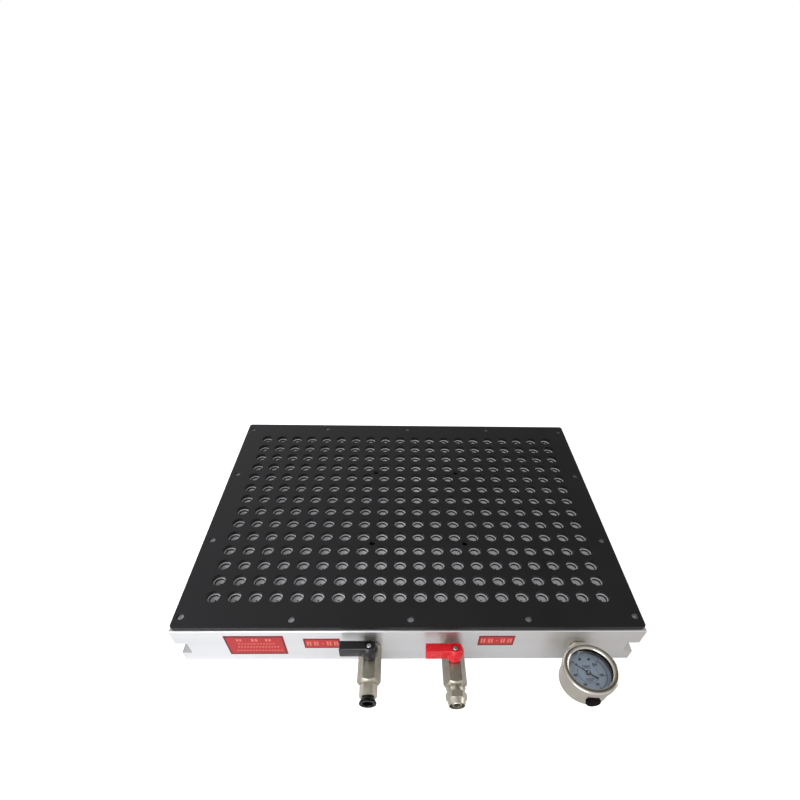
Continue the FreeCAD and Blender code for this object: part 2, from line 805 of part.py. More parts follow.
def grip_ring():
    """Thin steel ring whose inner edge leans into the tube."""
    body = new_body("grip_ring")
    outer = "(push_bore/2-sleeve_gap)"
    inner = "(tube_diameter/2+tube_gap)"
    lean = "0.5"
    turn(body, [("grip_place", outer + "-0.25"), ("grip_place", outer), ("grip_place+grip_thickness", outer),
                ("grip_place+grip_thickness+" + lean, inner), ("grip_place+grip_thickness+%s-0.25" % lean, inner),
                ("grip_place+grip_thickness-0.25", outer + "-0.25")])
    at_port(body, "blow")


def tube_seal():
    ring = primitive("Torus", "tube_seal", axis=(0, 1, 0), Radius1="push_bore/2-tube_seal_cord/2-0.02",
                     Radius2="tube_seal_cord/2")
    ring.Label = "tube_seal"
    place(ring, "blow_port_x", front + "-push_bore_start-0.1-tube_seal_cord/2-blow_stand_off", "port_height")


def hose_connector():
    body = new_body("hose_connector")
    hex_prism(body, "hose_flats", "valve_end", "hose_hex_end-valve_end")
    hex_chamfer(body, "hose_flats", "hose_hex_end", True)
    start = "valve_end-female_depth+2"
    turn(body, [(start, "nipple_bore/2")] + thread_end(start, "valve_end+0.5") +
         [("valve_end+0.5", "hose_collar/2"), ("hose_collar_end", "hose_collar/2"),
          ("hose_collar_end", "hose_thread/2"), ("hose_thread_end", "hose_thread/2"),
          ("hose_thread_end", "nipple_diameter/2"), ("nipple_end-0.5", "nipple_diameter/2"),
          ("nipple_end", "nipple_diameter/2-0.4"), ("nipple_end", "nipple_bore/2")])
    turn(body, [(start, "0"), ("nipple_end", "0"), ("nipple_end", "nipple_bore/2"), (start, "nipple_bore/2")],
         cut=True)
    at_port(body, "vacuum")


def hose_nut():
    """Hexagon nut with a coned nose that squeezes the hose on the nipple."""
    body = new_body("hose_nut")
    hex_prism(body, "nut_flats", "hose_collar_end", "nut_hex_end-hose_collar_end")
    hex_chamfer(body, "nut_flats", "nut_hex_end", True)
    hex_chamfer(body, "nut_flats", "hose_collar_end", False)
    turn(body, [("nut_hex_end-0.5", "nut_opening/2"), ("nut_hex_end-0.5", "nut_flats/2"),
                ("nut_hex_end", "nut_flats/2"), ("nut_end", "nut_nose/2"), ("nut_end", "nut_opening/2")])
    turn(body, [("hose_collar_end", "0"), ("nut_end", "0"), ("nut_end", "nut_opening/2"),
                ("nut_step", "nut_opening/2"), ("nut_step-0.3", "hose_thread/2+thread_gap"),
                ("hose_collar_end", "hose_thread/2+thread_gap")], cut=True)
    at_port(body, "vacuum")


# The gauge is drawn with its stem along +y at z = 0 and its dial facing up

def at_gauge(thing, z="0"):
    place(thing, "gauge_port_x", front + "-gauge_reach", "port_height+(%s)" % z)


window_bottom = "(flange_bottom+case_wall+gasket_thickness)"
window_top = "(" + window_bottom + "+window_thickness)"


def disc_body(label, corners):
    body = new_body(label)
    profile = sketch(body, "XZ_Plane")
    outline(profile, corners)
    revolve(body, profile, "V_Axis")
    return body


def gauge_case():
    wide = "case_diameter/2"
    inner = "(case_diameter/2-case_wall)"
    lip = "(flange_bottom+case_wall)"
    body = disc_body("gauge_case", [("0", "-case_bottom"), (wide, "-case_bottom"), (wide, "flange_bottom"),
                                    ("flange_diameter/2", "flange_bottom"), ("flange_diameter/2", lip),
                                    (inner, lip), (inner, "-case_bottom+case_wall"),
                                    ("0", "-case_bottom+case_wall")])
    floor = number("case_bottom")
    wall = number("case_wall")
    width = number(wide)
    dress(body, "Fillet", lambda e: level(e, -floor) and abs(e.BoundBox.XMax - width) < 0.01, Radius="case_round")
    dress(body, "Fillet", lambda e: level(e, wall - floor) and e.BoundBox.XMax > width - wall - 0.01,
          Radius="case_round-case_wall")
    back = sketch(body, "XZ_Plane")
    circle(back, "socket_neck+2*pivot_gap")
    pocket(body, back, "case_diameter")
    fill = sketch(body, "XZ_Plane")
    circle(fill, "plug_neck", "0", "-plug_drop")
    pocket(body, fill, "case_diameter", True)
    at_gauge(body)


def gauge_bezel():
    """Crimped ring: rolled crown, sloping face down to the window, skirt turned in under the case's flange."""
    wide = "bezel_diameter/2"
    grip = "(flange_diameter/2+pivot_gap)"
    low = "(flange_bottom-bezel_skirt)"
    body = disc_body("gauge_bezel", [
        ("case_diameter/2+0.4", low), (wide + "-0.5", low), (wide, low + "+0.5"), (wide, "bezel_top-2.2"),
        (wide + "-0.4", "bezel_top-1"), (wide + "-1.1", "bezel_top-0.2"), (wide + "-1.9", "bezel_top"),
        (wide + "-2.7", "bezel_top-0.3"), ("bezel_opening/2", window_top + "+0.5"),
        ("bezel_opening/2", window_top), (grip, window_top), (grip, "flange_bottom"),
        ("case_diameter/2+0.4", "flange_bottom")])
    at_gauge(body)


def gauge_window():
    body = disc_body("gauge_window", [("0", window_bottom), ("window_diameter/2", window_bottom),
                                      ("window_diameter/2", window_top), ("0", window_top)])
    at_gauge(body)


def window_gasket():
    low = "(flange_bottom+case_wall)"
    inner = "(case_diameter/2-case_wall)"
    body = disc_body("window_gasket", [(inner, low), ("window_diameter/2", low),
                                       ("window_diameter/2", window_bottom), (inner, window_bottom)])
    at_gauge(body)


def gauge_dial():
    body = disc_body("gauge_dial", [("arbor_diameter/2+0.6", "dial_top-dial_thickness"),
                                    ("dial_diameter/2", "dial_top-dial_thickness"),
                                    ("dial_diameter/2", "dial_top"), ("arbor_diameter/2+0.6", "dial_top")])
    holes = sketch(body, "XY_Plane", "dial_top")
    for sx in ("-", ""):
        circle(holes, "dial_screw+0.2", sx + "dial_screw_x", "dial_screw_y")
    pocket(body, holes, "dial_thickness")
    at_gauge(body)


def dial_screws():
    heads = []
    for sx in ("-", ""):
        head = primitive("Cylinder", "dial_screw_head", sx + "dial_screw_x", "dial_screw_y", "dial_top",
                         Radius="dial_screw_head/2", Height="0.5")
        shank = primitive("Cylinder", "dial_screw_shank", sx + "dial_screw_x", "dial_screw_y", "dial_top-3",
                          Radius="dial_screw/2", Height="3.2")
        heads += [head, shank]
    group = plus("dial_screws", heads)
    group.Label = "dial_screws"
    at_gauge(group)


def gauge_pointer():
    """Slim pointer with a ring hub and a broad tail, drawn along +x and turned to rest on zero."""
    body = new_body("gauge_pointer")
    face = sketch(body, "XY_Plane")
    outline(face, [("pointer_reach", "0"), ("1", "0.45"), ("-3", "0.5"), ("-pointer_tail+1", "1"),
                   ("-pointer_tail", "0.6"), ("-pointer_tail", "-0.6"), ("-pointer_tail+1", "-1"),
                   ("-3", "-0.5"), ("1", "-0.45")])
    pad(body, face, "pointer_thickness")
    hub = sketch(body, "XY_Plane")
    circle(hub, "pointer_hub")
    pad(body, hub, "pointer_thickness+0.4")
    bore = sketch(body, "XY_Plane")
    circle(bore, "arbor_diameter+2*pivot_gap")
    pocket(body, bore, "pointer_thickness+0.4", True)
    body.Placement.Rotation = FreeCAD.Rotation(FreeCAD.Vector(0, 0, 1), sizes["pointer_angle"])
    at_gauge(body, "dial_top+pointer_lift")


def pointer_arbor():
    thin = "arbor_diameter/2"
    body = disc_body("pointer_arbor", [("0", "movement_bottom+0.1"), (thin, "movement_bottom+0.1"), (thin, "-1"),
                                       ("pinion_diameter/2-mesh_gap", "-1"), ("pinion_diameter/2-mesh_gap", "1"),
                                       (thin, "1"), (thin, "dial_top+pointer_lift+pointer_thickness+0.6"),
                                       ("0", "dial_top+pointer_lift+pointer_thickness+0.6")])
    at_gauge(body)


def movement_frame():
    """Two brass plates on three pillars that carry the arbor and the sector."""
    body = new_body("movement_frame")
    shape = [("8", "block_start"), ("8", "-5"), ("3.4", "-sector_place-4.6"), ("-3.4", "-sector_place-4.6"),
             ("-8", "-5"), ("-8", "block_start")]
    low = sketch(body, "XY_Plane", "movement_bottom")
    outline(low, shape)
    pad(body, low, "plate_thickness")
    posts = sketch(body, "XY_Plane", "movement_bottom")
    for x, y in (("6.6", "5"), ("-6.6", "5"), ("0", "-sector_place-3.4")):
        circle(posts, "movement_pillar", x, y)
    pad(body, posts, "movement_top-movement_bottom")
    high = sketch(body, "XY_Plane", "movement_top-plate_thickness")
    outline(high, shape)
    pad(body, high, "plate_thickness")
    bearings = sketch(body, "XY_Plane", "movement_bottom")
    circle(bearings, "arbor_diameter+2*pivot_gap")
    circle(bearings, "pivot_diameter+2*pivot_gap", "0", "-sector_place")
    pocket(body, bearings, "movement_top-movement_bottom", True)
    at_gauge(body)


def gauge_sector():
    """Toothed segment on its own pivot, with a tail arm for the link. Its teeth are left as the pitch arc."""
    body = new_body("gauge_sector")
    steps = 10
    corners = [("0.6", "0")]
    for i in range(steps + 1):
        angle = math.radians(84 + 60 * i / steps)
        corners.append(("(sector_radius-mesh_gap)*%.5f" % math.cos(angle),
                        "(sector_radius-mesh_gap)*%.5f" % math.sin(angle)))
    corners += [("-1.2", "0.6"), ("-tail_reach-0.8", "0.6"), ("-tail_reach-0.8", "-0.8"), ("0.6", "-0.8")]
    plate = sketch(body, "XY_Plane", "-sector_thickness/2")
    outline(plate, corners)
    pad(body, plate, "sector_thickness")
    pivot = sketch(body, "XY_Plane", "movement_bottom+0.1")
    circle(pivot, "pivot_diameter")
    pad(body, pivot, "movement_top-movement_bottom-0.2")
    pin = sketch(body, "XY_Plane", "sector_thickness/2-0.1")
    circle(pin, "pivot_diameter", "-tail_reach")
    pad(body, pin, "0.1+2*pivot_gap+link_thickness+0.2")
    place(body, "gauge_port_x", front + "-gauge_reach-sector_place", "port_height")


def sector_link():
    """Flat link from the sector's tail towards the free end of the spring tube."""
    body = new_body("sector_link")
    bar = sketch(body, "XY_Plane", "sector_thickness/2+pivot_gap")
    rectangle(bar, "link_length+link_width", "link_width", "-tail_reach-link_length/2")
    pad(body, bar, "link_thickness")
    bore = sketch(body, "XY_Plane", "0")
    for x in ("-tail_reach", "-tail_reach-link_length"):
        circle(bore, "pivot_diameter+2*pivot_gap", x)
    pocket(body, bore, "5", True)
    place(body, "gauge_port_x", front + "-gauge_reach-sector_place", "port_height")


def gauge_socket():
    """Brass block inside the case, neck through its wall, hexagon and threaded end."""
    body = new_body("gauge_socket")
    block = sketch(body, "XY_Plane", "dial_top-dial_thickness-block_height")
    rectangle(block, "block_width", "block_end-block_start", "0", "(block_start+block_end)/2")
    pad(body, block, "block_height")
    neck = sketch(body, "XZ_Plane", "-block_end+1")
    circle(neck, "socket_neck")
    neck_pad = pad(body, neck, "socket_hex_start-block_end+2")
    neck_pad.Reversed = True
    flats = sketch(body, "XZ_Plane", "-socket_hex_start")
    hexagon(flats, "socket_flats")
    flat_pad = pad(body, flats, "socket_hex_end-socket_hex_start")
    flat_pad.Reversed = True
    end = sketch(body, "XZ_Plane", "-socket_hex_end+1")
    circle(end, "port_diameter-2*thread_gap")
    end_pad = pad(body, end, "gauge_reach-socket_hex_end+insert_thread+1")
    end_pad.Reversed = True
    bore = sketch(body, "XZ_Plane", "-gauge_reach-insert_thread")
    circle(bore, "socket_bore")
    pocket(body, bore, "gauge_reach+insert_thread-block_start-3", True)
    tapped = sketch(body, "XY_Plane", "dial_top-dial_thickness")
    for sx in ("-", ""):
        circle(tapped, "dial_screw+2*thread_gap", sx + "dial_screw_x", "dial_screw_y")
    pocket(body, tapped, "2.8")
    at_gauge(body)


def bourdon_tube():
    """Flattened spring tube: over half a turn from the block's side to its closed tip."""
    mean = number("tube_circle/2")
    height = number("tube_height")
    thick = number("tube_thickness")
    wall = number("tube_wall")
    up = FreeCAD.Vector(0, 0, 1)
    reach = number("block_width") / 2
    begin = 90 - math.degrees(math.asin((reach - thick) / mean))
    sweep = begin + number("tube_tip_angle")

    def ribbon(across, tall):
        corners = [(-1, -1), (1, -1), (1, 1), (-1, 1), (-1, -1)]
        section = Part.makePolygon([FreeCAD.Vector(mean + sx * across / 2, 0, sz * tall / 2) for sx, sz in corners])
        solid = Part.Face(section).revolve(FreeCAD.Vector(), up, -sweep)
        solid.rotate(FreeCAD.Vector(), up, begin)
        return solid

    tube = ribbon(thick, height).cut(ribbon(thick - 2 * wall, height - 2 * wall))
    tube = tube.cut(Part.makeBox(2 * reach, 2 * mean, 2 * height, FreeCAD.Vector(-reach, 0, -height)))
    tip = Part.makeBox(thick, thick, 0.6 * height, FreeCAD.Vector(mean - thick / 2, -thick / 2, -0.3 * height))
    tip.rotate(FreeCAD.Vector(), up, begin - sweep)
    thing = doc.addObject("Part::Feature", "bourdon_tube")
    thing.Label = "bourdon_tube"
    thing.Shape = tube.fuse(tip)
    at_gauge(thing)


def fill_plug():
    """Rubber plug in the case's wall opposite the stem."""
    body = new_body("fill_plug")
    wall = "case_diameter/2"
    turn(body, [("-2", "0"), ("-2", "plug_neck/2-0.5"), ("0", "plug_neck/2-0.1"), ("1", "plug_neck/2-0.1"),
                ("1", "plug_head/2"), ("0.4+plug_length", "plug_head/2-0.6"), ("1+plug_length", "plug_head/2-2.4"),
                ("1+plug_length", "0")])
    body.Placement.Rotation = FreeCAD.Rotation(FreeCAD.Vector(0, 0, 1), -90)
    place(body, "gauge_port_x", front + "-gauge_reach-" + wall + "+1", "port_height-plug_drop")


base_body()
top_plate()
bottom_cover()
cover_seal()
screw_group("top_plate_screws", top_screw_places(), "top_thickness", "base_height")
screw_group("cover_screws", cover_screw_places(), "cover_thickness", "cover_thickness", True)
label_plate("wide_label", "wide_label_width", "wide_label_height", "wide_label_x", "wide_label_z")
label_plate("blow_label", "port_label_width", "port_label_height", "blow_label_x", "blow_label_z")
label_plate("vacuum_label", "port_label_width", "port_label_height", "vacuum_label_x", "vacuum_label_z")
for side in ("blow", "vacuum"):
    for piece in (valve_body, valve_insert, ball, ball_seats, stem, stem_seal, lever, lever_screw):
        piece(side)
push_fitting()
release_sleeve()
grip_ring()
tube_seal()
hose_connector()
hose_nut()
gauge_case()
gauge_bezel()
gauge_window()
window_gasket()
gauge_dial()
dial_screws()
gauge_pointer()
pointer_arbor()
movement_frame()
gauge_sector()
sector_link()
gauge_socket()
bourdon_tube()
fill_plug()
doc.recompute()

# Every sub-part is a body, or a boolean or shape that nothing else uses

problems = []
for thing in doc.Objects:
    if {"Invalid", "Error"} & set(thing.State):
        problems.append(thing.Label + " is " + ", ".join(thing.State))

nodes = [thing for thing in doc.Objects
         if thing.TypeId == "PartDesign::Body" or (thing.TypeId.startswith("Part::") and not thing.InList)]
for node in nodes:
    if node.Shape.isNull() or not node.Shape.isValid() or not node.Shape.Solids:
        problems.append(node.Label + " has no valid solid")
if problems:
    raise RuntimeError("; ".join(problems))

os.makedirs("parts", exist_ok=True)
for node in nodes:
    node.Shape.exportStep("parts/%s.step" % node.Label)
    print(node.Label, len(node.Shape.Solids), round(node.Shape.Volume, 1))
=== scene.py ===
import bpy
import bmesh
import json
import math
from mathutils import Matrix, Vector


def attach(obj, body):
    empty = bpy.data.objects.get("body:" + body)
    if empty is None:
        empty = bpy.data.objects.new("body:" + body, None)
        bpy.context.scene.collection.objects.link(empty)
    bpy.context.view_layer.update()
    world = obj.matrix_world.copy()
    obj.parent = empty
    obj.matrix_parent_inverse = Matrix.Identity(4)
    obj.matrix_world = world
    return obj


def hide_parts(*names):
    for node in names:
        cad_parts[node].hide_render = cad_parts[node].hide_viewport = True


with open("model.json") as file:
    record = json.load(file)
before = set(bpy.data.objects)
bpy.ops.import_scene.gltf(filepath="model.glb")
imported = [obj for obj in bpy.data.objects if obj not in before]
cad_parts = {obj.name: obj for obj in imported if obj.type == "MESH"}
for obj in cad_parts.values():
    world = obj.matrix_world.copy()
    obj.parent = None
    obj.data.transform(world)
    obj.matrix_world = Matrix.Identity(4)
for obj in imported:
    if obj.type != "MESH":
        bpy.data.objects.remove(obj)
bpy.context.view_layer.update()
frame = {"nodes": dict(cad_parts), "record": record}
nodes = frame["nodes"]
mm = 0.001
bodyOf = {name: body for body, names in frame["record"]["behaviour"]["bodies"].items() for name in names}
slotOf = {part["node"]: part["material_slot"] for part in frame["record"]["subparts"]}
print("frame loaded:", len(nodes), "nodes")


# colours are written as sRGB hex and turned to linear here
def hexColour(text):
    parts = [int(text[i:i + 2], 16) / 255 for i in (1, 3, 5)]
    return [p / 12.92 if p <= 0.04045 else ((p + 0.055) / 1.055) ** 2.4 for p in parts] + [1.0]


# settings go to the node's sockets or properties, links come from other nodes, feeds go on to other sockets.
# A Mix node takes numbers at 2 and 3 and gives one at 0, or colours at 6 and 7 and gives one at 2.
def addNode(owner, kind, settings=None, links=None, feeds=None):
    node = owner.node_tree.nodes.new(kind)
    for key, value in (settings or {}).items():
        if isinstance(key, int) or key in node.inputs:
            node.inputs[key].default_value = value
        else:
            setattr(node, key, value)
    for key, source in (links or {}).items():
        owner.node_tree.links.new(source, node.inputs[key])
    for key, target in (feeds or {}).items():
        owner.node_tree.links.new(node.outputs[key], target)
    return node


def newMaterial(name, colour, roughness, metallic=0.0, **extra):
    material = bpy.data.materials.new(name)
    material.use_nodes = True
    shader = material.node_tree.nodes["Principled BSDF"]
    shader.inputs["Base Color"].default_value = hexColour(colour)
    shader.inputs["Roughness"].default_value = roughness
    shader.inputs["Metallic"].default_value = metallic
    for key, value in extra.items():
        shader.inputs[key.replace("_", " ")].default_value = value
    material.diffuse_color = hexColour(colour)
    where = addNode(material, "ShaderNodeTexCoord")
    return material, shader, where.outputs["Object"]


# a noise of this scale on metres has features of about the given size
def perMetre(sizeMm):
    return 1000.0 / sizeMm


# 1 inside a box and 0 outside it, the same on both halves of the part: each axis has its middle and its reach
# on either side of that, in metres
def insideBox(owner, here, box):
    mirrored = addNode(owner, "ShaderNodeVectorMath", {"operation": "ABSOLUTE"}, {0: here})
    place = addNode(owner, "ShaderNodeSeparateXYZ", None, {0: mirrored.outputs[0]})
    near = [addNode(owner, "ShaderNodeMath", {"operation": "COMPARE", 1: middle, 2: reach},
                    {0: place.outputs[axis]}).outputs[0] for axis, (middle, reach) in box.items()]
    inside = near[0]
    for other in near[1:]:
        inside = addNode(owner, "ShaderNodeMath", {"operation": "MULTIPLY"}, {0: inside, 1: other}).outputs[0]
    return inside


uprightest = 0.4  # a wall's normal rises or falls no more than this


# 1 on a face that stands nearly upright, as a bored wall does
def onWall(owner):
    shape = addNode(owner, "ShaderNodeNewGeometry")
    facing = addNode(owner, "ShaderNodeSeparateXYZ", None, {0: shape.outputs["Normal"]})
    wall = addNode(owner, "ShaderNodeMath", {"operation": "COMPARE", 1: 0.0, 2: uprightest},
                   {0: facing.outputs["Z"]})
    return wall.outputs[0]


milled = {"cells": {"X": (0.0, 0.180), "Y": (0.0, 0.125), "Z": (0.0443, 0.0018)},
          "slots": {"X": (0.1951, 0.0048), "Y": (0.0, 0.1498), "Z": (0.02025, 0.0074)}}


# milled aluminium, clear anodised: silky, with faint cutter lines along the long side, which are drawn
# coarser than the real ones so that they show. The suction cells and clamp slots are left dull by the end
# mill, so they scatter light. The cells' upright walls are painted dark grey, as painted shade in the bores.
def satinAluminium():
    material, shader, here = newMaterial("satinAluminium", "#E6E6E6", 0.34, 1.0, Anisotropic=0.9,
                                         Anisotropic_Rotation=0.25)
    addNode(material, "ShaderNodeTangent", {"direction_type": "RADIAL", "axis": "Z"}, None,
            {0: shader.inputs["Tangent"]})
    along = addNode(material, "ShaderNodeMapping", {"Scale": (0.03, 1, 1)}, {"Vector": here})
    lines = addNode(material, "ShaderNodeTexNoise", {"Scale": perMetre(0.6), "Detail": 4.0},
                    {"Vector": along.outputs[0]})
    broad = addNode(material, "ShaderNodeTexNoise", {"Scale": perMetre(25.0), "Detail": 2.0},
                    {"Vector": along.outputs[0]})
    tone = addNode(material, "ShaderNodeMix",
                   {"data_type": "RGBA", 6: hexColour("#DCDCDD"), 7: hexColour("#F2F1EF")},
                   {0: broad.outputs["Fac"]})
    inCell = insideBox(material, here, milled["cells"])
    inSlot = insideBox(material, here, milled["slots"])
    dulled = addNode(material, "ShaderNodeMath", {"operation": "MAXIMUM"}, {0: inCell, 1: inSlot})
    swirls = addNode(material, "ShaderNodeTexNoise", {"Scale": perMetre(1.6), "Detail": 3.0},
                     {"Vector": here})
    cellFloor = addNode(material, "ShaderNodeMix",
                        {"data_type": "RGBA", 6: hexColour("#E2E2E3"), 7: hexColour("#F6F6F6")},
                        {0: swirls.outputs["Fac"]})
    # painted shade: the cells' upright walls are coloured dark grey
    cellWallShade = addNode(material, "ShaderNodeMath", {"operation": "MULTIPLY"},
                       {0: onWall(material), 1: inCell})
    cellToneShaded = addNode(material, "ShaderNodeMix", {"data_type": "RGBA", 7: hexColour("#3C3C3D")},
                       {0: cellWallShade.outputs[0], 6: cellFloor.outputs[2]})
    dullToneShaded = addNode(material, "ShaderNodeMix", {"data_type": "RGBA", 7: hexColour("#CDCCCA")},
                       {0: inSlot, 6: cellToneShaded.outputs[2]})
    addNode(material, "ShaderNodeMix", {"data_type": "RGBA"},
            {0: dulled.outputs[0], 6: tone.outputs[2], 7: dullToneShaded.outputs[2]},
            {2: shader.inputs["Base Color"]})
    addNode(material, "ShaderNodeMapRange", {"To Min": 1.0, "To Max": 0.25}, {"Value": dulled.outputs[0]},
            {0: shader.inputs["Metallic"]})
    silk = addNode(material, "ShaderNodeMapRange", {"To Min": 0.32, "To Max": 0.42},
                   {"Value": lines.outputs["Fac"]})
    addNode(material, "ShaderNodeMix", {3: 0.5}, {0: dulled.outputs[0], 2: silk.outputs[0]},
            {0: shader.inputs["Roughness"]})
    addNode(material, "ShaderNodeBump", {"Strength": 0.12, "Distance": 0.03 * mm},
            {"Height": lines.outputs["Fac"]}, {"Normal": shader.inputs["Normal"]})
    return material


# hard anodised aluminium: a dense black oxide with a dry, faintly grainy sheen; the bored walls are painted
# darker still, as painted shade.
# The grain is drawn coarser than the real one so that it shows.
def blackAnodised():
    material, shader, here = newMaterial("blackAnodised", "#1A1A1C", 0.42)
    grain = addNode(material, "ShaderNodeTexNoise",
                    {"Scale": perMetre(0.6), "Detail": 5.0, "Roughness": 0.65}, {"Vector": here})
    wear = addNode(material, "ShaderNodeTexNoise", {"Scale": perMetre(60.0), "Detail": 3.0}, {"Vector": here})
    face = addNode(material, "ShaderNodeMix",
                   {"data_type": "RGBA", 6: hexColour("#101012"), 7: hexColour("#18181B")},
                   {0: wear.outputs["Fac"]})
    # painted shade: upright faces, the bored walls, are coloured nearly black
    addNode(material, "ShaderNodeMix", {"data_type": "RGBA", 7: hexColour("#060607")},
            {0: onWall(material), 6: face.outputs[2]}, {2: shader.inputs["Base Color"]})
    addNode(material, "ShaderNodeMapRange", {"To Min": 0.34, "To Max": 0.5}, {"Value": wear.outputs["Fac"]},
            {0: shader.inputs["Roughness"]})
    addNode(material, "ShaderNodeBump", {"Strength": 0.2, "Distance": 0.02 * mm},
            {"Height": grain.outputs["Fac"]}, {"Normal": shader.inputs["Normal"]})
    return material


# nickel plated brass: satin with a warm, slightly green cast, lightly hazed by handling over turning marks
def nickelBrass(name, dark, light):
    material, shader, here = newMaterial(name, light, 0.34, 1.0)
    haze = addNode(material, "ShaderNodeTexNoise", {"Scale": perMetre(4.0), "Detail": 4.0}, {"Vector": here})
    along = addNode(material, "ShaderNodeMapping", {"Scale": (1, 0.05, 1)}, {"Vector": here})
    turning = addNode(material, "ShaderNodeTexNoise", {"Scale": perMetre(0.4), "Detail": 3.0},
                      {"Vector": along.outputs[0]})
    addNode(material, "ShaderNodeMix", {"data_type": "RGBA", 6: hexColour(dark), 7: hexColour(light)},
            {0: haze.outputs["Fac"]}, {2: shader.inputs["Base Color"]})
    addNode(material, "ShaderNodeMapRange", {"To Min": 0.28, "To Max": 0.42}, {"Value": haze.outputs["Fac"]},
            {0: shader.inputs["Roughness"]})
    addNode(material, "ShaderNodeBump", {"Strength": 0.1, "Distance": 0.02 * mm},
            {"Height": turning.outputs["Fac"]}, {"Normal": shader.inputs["Normal"]})
    return material


# turned brass, unplated: yellow, duller where it has tarnished
def plainBrass():
    material, shader, here = newMaterial("plainBrass", "#C8A055", 0.28, 1.0)
    tarnish = addNode(material, "ShaderNodeTexNoise", {"Scale": perMetre(5.0), "Detail": 4.0},
                      {"Vector": here})
    addNode(material, "ShaderNodeMix",
            {"data_type": "RGBA", 6: hexColour("#A98343"), 7: hexColour("#DAB468")},
            {0: tarnish.outputs["Fac"]}, {2: shader.inputs["Base Color"]})
    addNode(material, "ShaderNodeMapRange",
            {"To Min": 0.2, "To Max": 0.44}, {"Value": tarnish.outputs["Fac"]},
            {0: shader.inputs["Roughness"]})
    return material


# polished stainless pressing: mirror-like and warm, with soft draw marks
def polishedStainless():
    material, shader, here = newMaterial("polishedStainless", "#CFCAC1", 0.22, 1.0)
    smear = addNode(material, "ShaderNodeTexNoise", {"Scale": perMetre(7.0), "Detail": 3.0}, {"Vector": here})
    addNode(material, "ShaderNodeMix",
            {"data_type": "RGBA", 6: hexColour("#BDB7AC"), 7: hexColour("#D9D4CB")},
            {0: smear.outputs["Fac"]}, {2: shader.inputs["Base Color"]})
    addNode(material, "ShaderNodeMapRange", {"To Min": 0.16, "To Max": 0.3}, {"Value": smear.outputs["Fac"]},
            {0: shader.inputs["Roughness"]})
    return material


# bright spring steel, cool and clean
def springSteel():
    material, shader, here = newMaterial("springSteel", "#B9BBBE", 0.24, 1.0)
    drawn = addNode(material, "ShaderNodeTexNoise", {"Scale": perMetre(1.0), "Detail": 3.0}, {"Vector": here})
    addNode(material, "ShaderNodeMapRange", {"To Min": 0.18, "To Max": 0.32}, {"Value": drawn.outputs["Fac"]},
            {0: shader.inputs["Roughness"]})
    return material


# zinc plated screw steel: cool grey, dulled
def screwSteel():
    material, shader, here = newMaterial("screwSteel", "#B9BABD", 0.4, 1.0)
    spots = addNode(material, "ShaderNodeTexNoise", {"Scale": perMetre(1.5), "Detail": 3.0}, {"Vector": here})
    addNode(material, "ShaderNodeMix",
            {"data_type": "RGBA", 6: hexColour("#A6A7AB"), 7: hexColour("#CFD0D3")},
            {0: spots.outputs["Fac"]}, {2: shader.inputs["Base Color"]})
    addNode(material, "ShaderNodeMapRange", {"To Min": 0.34, "To Max": 0.5}, {"Value": spots.outputs["Fac"]},
            {0: shader.inputs["Roughness"]})
    return material


plateScrewsShaded = {"middle": {"X": (0.0, 0.170), "Y": (0.0, 0.120)}}


# the work plate's screws: zinc plated, and those in the plate's middle painted nearly black, as painted shade
# in their recesses
def plateScrewSteelShaded():
    material, shader, here = newMaterial("plateScrewSteelShaded", "#B9BABD", 0.4, 1.0)
    spots = addNode(material, "ShaderNodeTexNoise", {"Scale": perMetre(1.5), "Detail": 3.0}, {"Vector": here})
    plated = addNode(material, "ShaderNodeMix",
                     {"data_type": "RGBA", 6: hexColour("#A6A7AB"), 7: hexColour("#D6D7DA")},
                     {0: spots.outputs["Fac"]})
    # painted shade: the screws in the middle of the plate are coloured nearly black
    addNode(material, "ShaderNodeMix", {"data_type": "RGBA", 7: hexColour("#141416")},
            {0: insideBox(material, here, plateScrewsShaded["middle"]), 6: plated.outputs[2]},
            {2: shader.inputs["Base Color"]})
    addNode(material, "ShaderNodeMapRange", {"To Min": 0.3, "To Max": 0.5}, {"Value": spots.outputs["Fac"]},
            {0: shader.inputs["Roughness"]})
    return material


# screw steel with a black oxide skin: nearly black, with a faint oily shine
def oxideSteel():
    material, shader, here = newMaterial("oxideSteel", "#2E3238", 0.4, 0.8)
    oil = addNode(material, "ShaderNodeTexNoise", {"Scale": perMetre(1.5), "Detail": 3.0}, {"Vector": here})
    addNode(material, "ShaderNodeMix",
            {"data_type": "RGBA", 6: hexColour("#24272C"), 7: hexColour("#3A3F46")},
            {0: oil.outputs["Fac"]}, {2: shader.inputs["Base Color"]})
    addNode(material, "ShaderNodeMapRange", {"To Min": 0.32, "To Max": 0.5}, {"Value": oil.outputs["Fac"]},
            {0: shader.inputs["Roughness"]})
    return material


# hard chrome on a ground ball: a mirror, cool and barely streaked
def groundChrome():
    material, shader, here = newMaterial("groundChrome", "#D8D9DB", 0.08, 1.0)
    ground = addNode(material, "ShaderNodeTexNoise", {"Scale": perMetre(2.0), "Detail": 3.0},
                     {"Vector": here})
    addNode(material, "ShaderNodeMapRange",
            {"To Min": 0.05, "To Max": 0.12}, {"Value": ground.outputs["Fac"]},
            {0: shader.inputs["Roughness"]})
    return material


